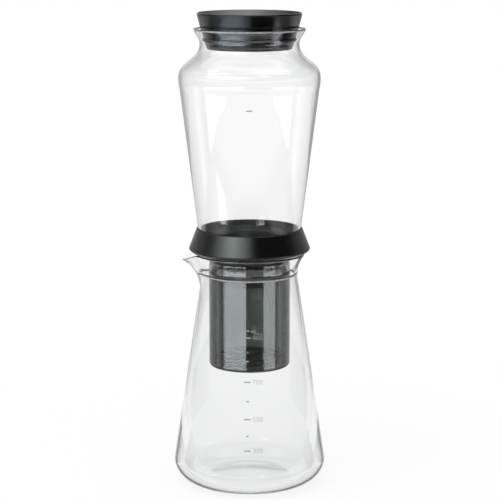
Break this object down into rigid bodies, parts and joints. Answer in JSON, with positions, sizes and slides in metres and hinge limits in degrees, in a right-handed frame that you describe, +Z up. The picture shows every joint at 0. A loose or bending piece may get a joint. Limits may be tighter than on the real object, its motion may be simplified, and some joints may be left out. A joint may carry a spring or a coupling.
{
  "type": "cold brew coffee maker",
  "caption": "Slow-drip cold brew tower: a lidded glass water bowl over a smoked strainer cup, held by a black collar in the mouth of a tall glass carafe with a pouring lip.",
  "frame": {"origin": "middle of the face that the carafe stands on", "axes": "+Z up along the axis of all the vessels, -X towards the carafe's pouring lip, -Y towards the printed volume scale"},
  "size_m": [0.1164, 0.1162, 0.3621],
  "materials": {
    "clear_glass": "clear blown heatproof glass, fire-polished rims",
    "black_plastic": "satin black moulding",
    "smoked_plastic": "polished translucent smoke grey",
    "rubber": "soft dark grey silicone",
    "steel_mesh": "fine woven screen"
  },
  "bodies": {
    "carafe": {"carafe": "clear_glass"},
    "collar": {"collar": "black_plastic"},
    "strainer": {"strainer_cup": "smoked_plastic", "bowl_seal": "rubber", "filter_screen": "steel_mesh", "filter_frame": "black_plastic", "drip_nozzle": "rubber"},
    "spreader": {"spreader_tray": "black_plastic"},
    "bowl": {"water_bowl": "clear_glass"},
    "lid": {"lid": "black_plastic", "lid_gasket": "rubber"}
  },
  "joints": [
    {"name": "collar_lift", "type": "slide", "parent": "carafe", "child": "collar", "axis": [0, 0, 1], "range_m": [0, 0.1]},
    {"name": "strainer_lift", "type": "slide", "parent": "collar", "child": "strainer", "axis": [0, 0, 1], "range_m": [0, 0.115]},
    {"name": "bowl_lift", "type": "slide", "parent": "strainer", "child": "bowl", "axis": [0, 0, 1], "range_m": [0, 0.06]},
    {"name": "spreader_lift", "type": "slide", "parent": "strainer", "child": "spreader", "axis": [0, 0, 1], "range_m": [0, 0.035]},
    {"name": "lid_lift", "type": "slide", "parent": "bowl", "child": "lid", "axis": [0, 0, 1], "range_m": [0, 0.04]}
  ]
}
